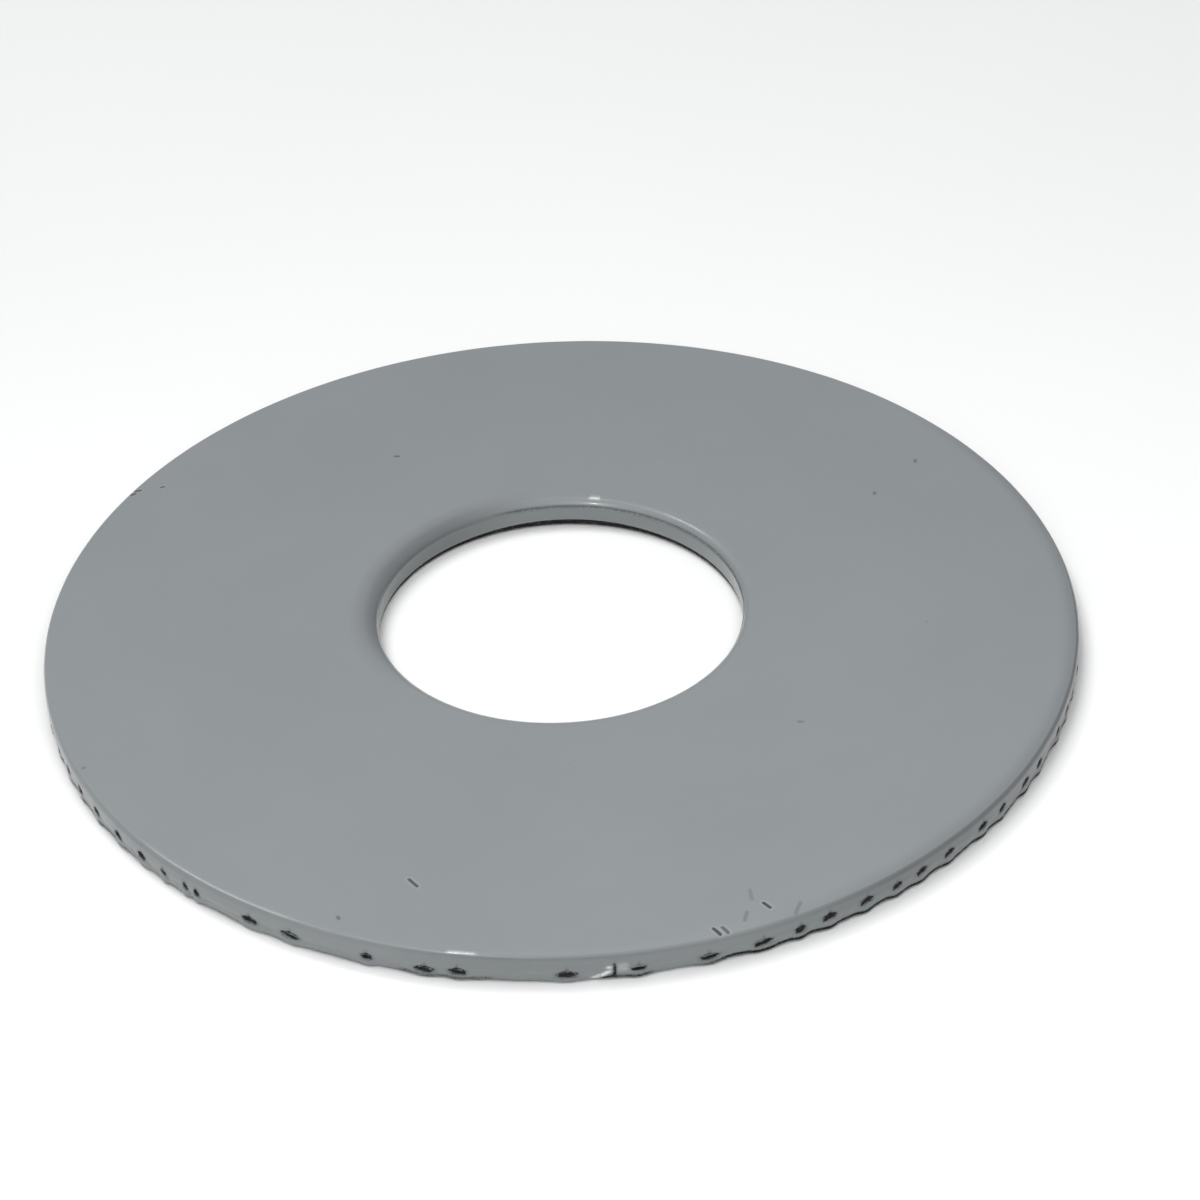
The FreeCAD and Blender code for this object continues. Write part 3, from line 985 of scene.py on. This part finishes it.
# Half of the floor's width, the light's tint and strength from below and from overhead
FLOOR_HALF = 4.0
ROOM_TINT = (0.97, 0.985, 1, 1)
ROOM_LOW, ROOM_HIGH = 0.18, 0.48

# The camera: distance from the middle of the upper face, height angle, roll and lens
CAMERA_DISTANCE = 307.2 * MM
CAMERA_ELEVATION = math.radians(36.06)
CAMERA_ROLL = math.radians(2.38)
CAMERA_TARGET = (4.26 * MM, 0.41 * MM, TOP)
FOCAL_LENGTH, SENSOR_WIDTH = 86.26, 36.0


def make_floor():
    """Lay a wide floor under the washer."""
    half = FLOOR_HALF
    corners = [(-half, -half, 0), (half, -half, 0), (half, half, 0), (-half, half, 0)]
    mesh = bpy.data.meshes.new("floor")
    mesh.from_pydata(corners, [], [(0, 1, 2, 3)])
    floor = bpy.data.objects.new("floor", mesh)
    bpy.context.scene.collection.objects.link(floor)
    floor.data.materials.append(floor_material())


def look_at(place, target, roll=0.0):
    """Return a rotation that looks from a place at a target, turned about that line."""
    aim = (Vector(target) - Vector(place)).normalized()
    turned = Matrix.Rotation(roll, 4, aim).to_3x3()
    return (turned @ aim.to_track_quat("-Z", "Y").to_matrix()).to_quaternion()


def make_light(name, place, size, power, glints=True, glow=True):
    """Hang a square light that faces the washer. It makes glints, lights evenly, or both."""
    light = bpy.data.lights.new(name, "AREA")
    light.shape = "SQUARE"
    light.size = size
    light.energy = power
    lamp = bpy.data.objects.new(name, light)
    lamp.location = place
    lamp.rotation_mode = "QUATERNION"
    lamp.rotation_quaternion = look_at(place, (0, 0, TOP))
    lamp.visible_glossy = glints
    lamp.visible_diffuse = glow
    bpy.context.scene.collection.objects.link(lamp)


def make_world():
    """Surround the stage with an even room that is brighter overhead than at the horizon."""
    world = bpy.data.worlds.new("studio")
    world.use_nodes = True
    tree = world.node_tree
    background = tree.nodes["Background"]
    background.inputs["Color"].default_value = ROOM_TINT
    upward = tree.nodes.new("ShaderNodeSeparateXYZ")
    direction = tree.nodes.new("ShaderNodeTexCoord").outputs["Generated"]
    tree.links.new(direction, upward.inputs["Vector"])
    strength = tree.nodes.new("ShaderNodeMapRange")
    strength.inputs["To Min"].default_value = ROOM_LOW
    strength.inputs["To Max"].default_value = ROOM_HIGH
    tree.links.new(upward.outputs["Z"], strength.inputs["Value"])
    tree.links.new(strength.outputs["Result"], background.inputs["Strength"])
    bpy.context.scene.world = world


def make_lights():
    """Light the stage from the back left and from above the front, with small glint lamps."""
    make_light("key", (-0.36, 0.372, 1.43), size=0.75, power=7.9, glints=False)
    make_light("top_fill", (0.0, -0.16, 0.22), size=0.22, power=0.40, glints=False)
    make_light("soft_box", (-0.40, 0.412, 0.855), size=0.2, power=1.1)
    make_light("front_lamp", (-0.253, -0.404, 0.766), size=0.045, power=1.3, glow=False)
    make_light("back_lamp", (-0.069, 0.402, 0.804), size=0.04, power=0.12)


def make_camera():
    """Place the camera in front of the washer, 36 degrees above it."""
    back = CAMERA_DISTANCE * math.cos(CAMERA_ELEVATION)
    place = Vector((0, -back, TOP + CAMERA_DISTANCE * math.sin(CAMERA_ELEVATION)))
    lens = bpy.data.cameras.new("camera")
    lens.sensor_width = SENSOR_WIDTH
    lens.lens = FOCAL_LENGTH
    lens.clip_start = 0.01
    camera = bpy.data.objects.new("camera", lens)
    camera.location = place
    camera.rotation_mode = "QUATERNION"
    camera.rotation_quaternion = look_at(place, CAMERA_TARGET, CAMERA_ROLL)
    bpy.context.scene.collection.objects.link(camera)
    bpy.context.scene.camera = camera


# The scene -------------------------------------------------------------------

def finish_piece(piece, material, node):
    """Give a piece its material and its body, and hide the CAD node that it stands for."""
    piece.data.materials.append(material)
    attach(piece, "root")
    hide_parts(node)


skin = build_skin()
wear_and_painted_light(skin)
finish_piece(skin, enamel_material(), "paint_coat")
plate = build_plate()
finish_piece(plate, torn_steel_material(), "steel_plate")
make_floor()
make_world()
make_lights()
make_camera()
bpy.context.scene.view_settings.view_transform = "Standard"
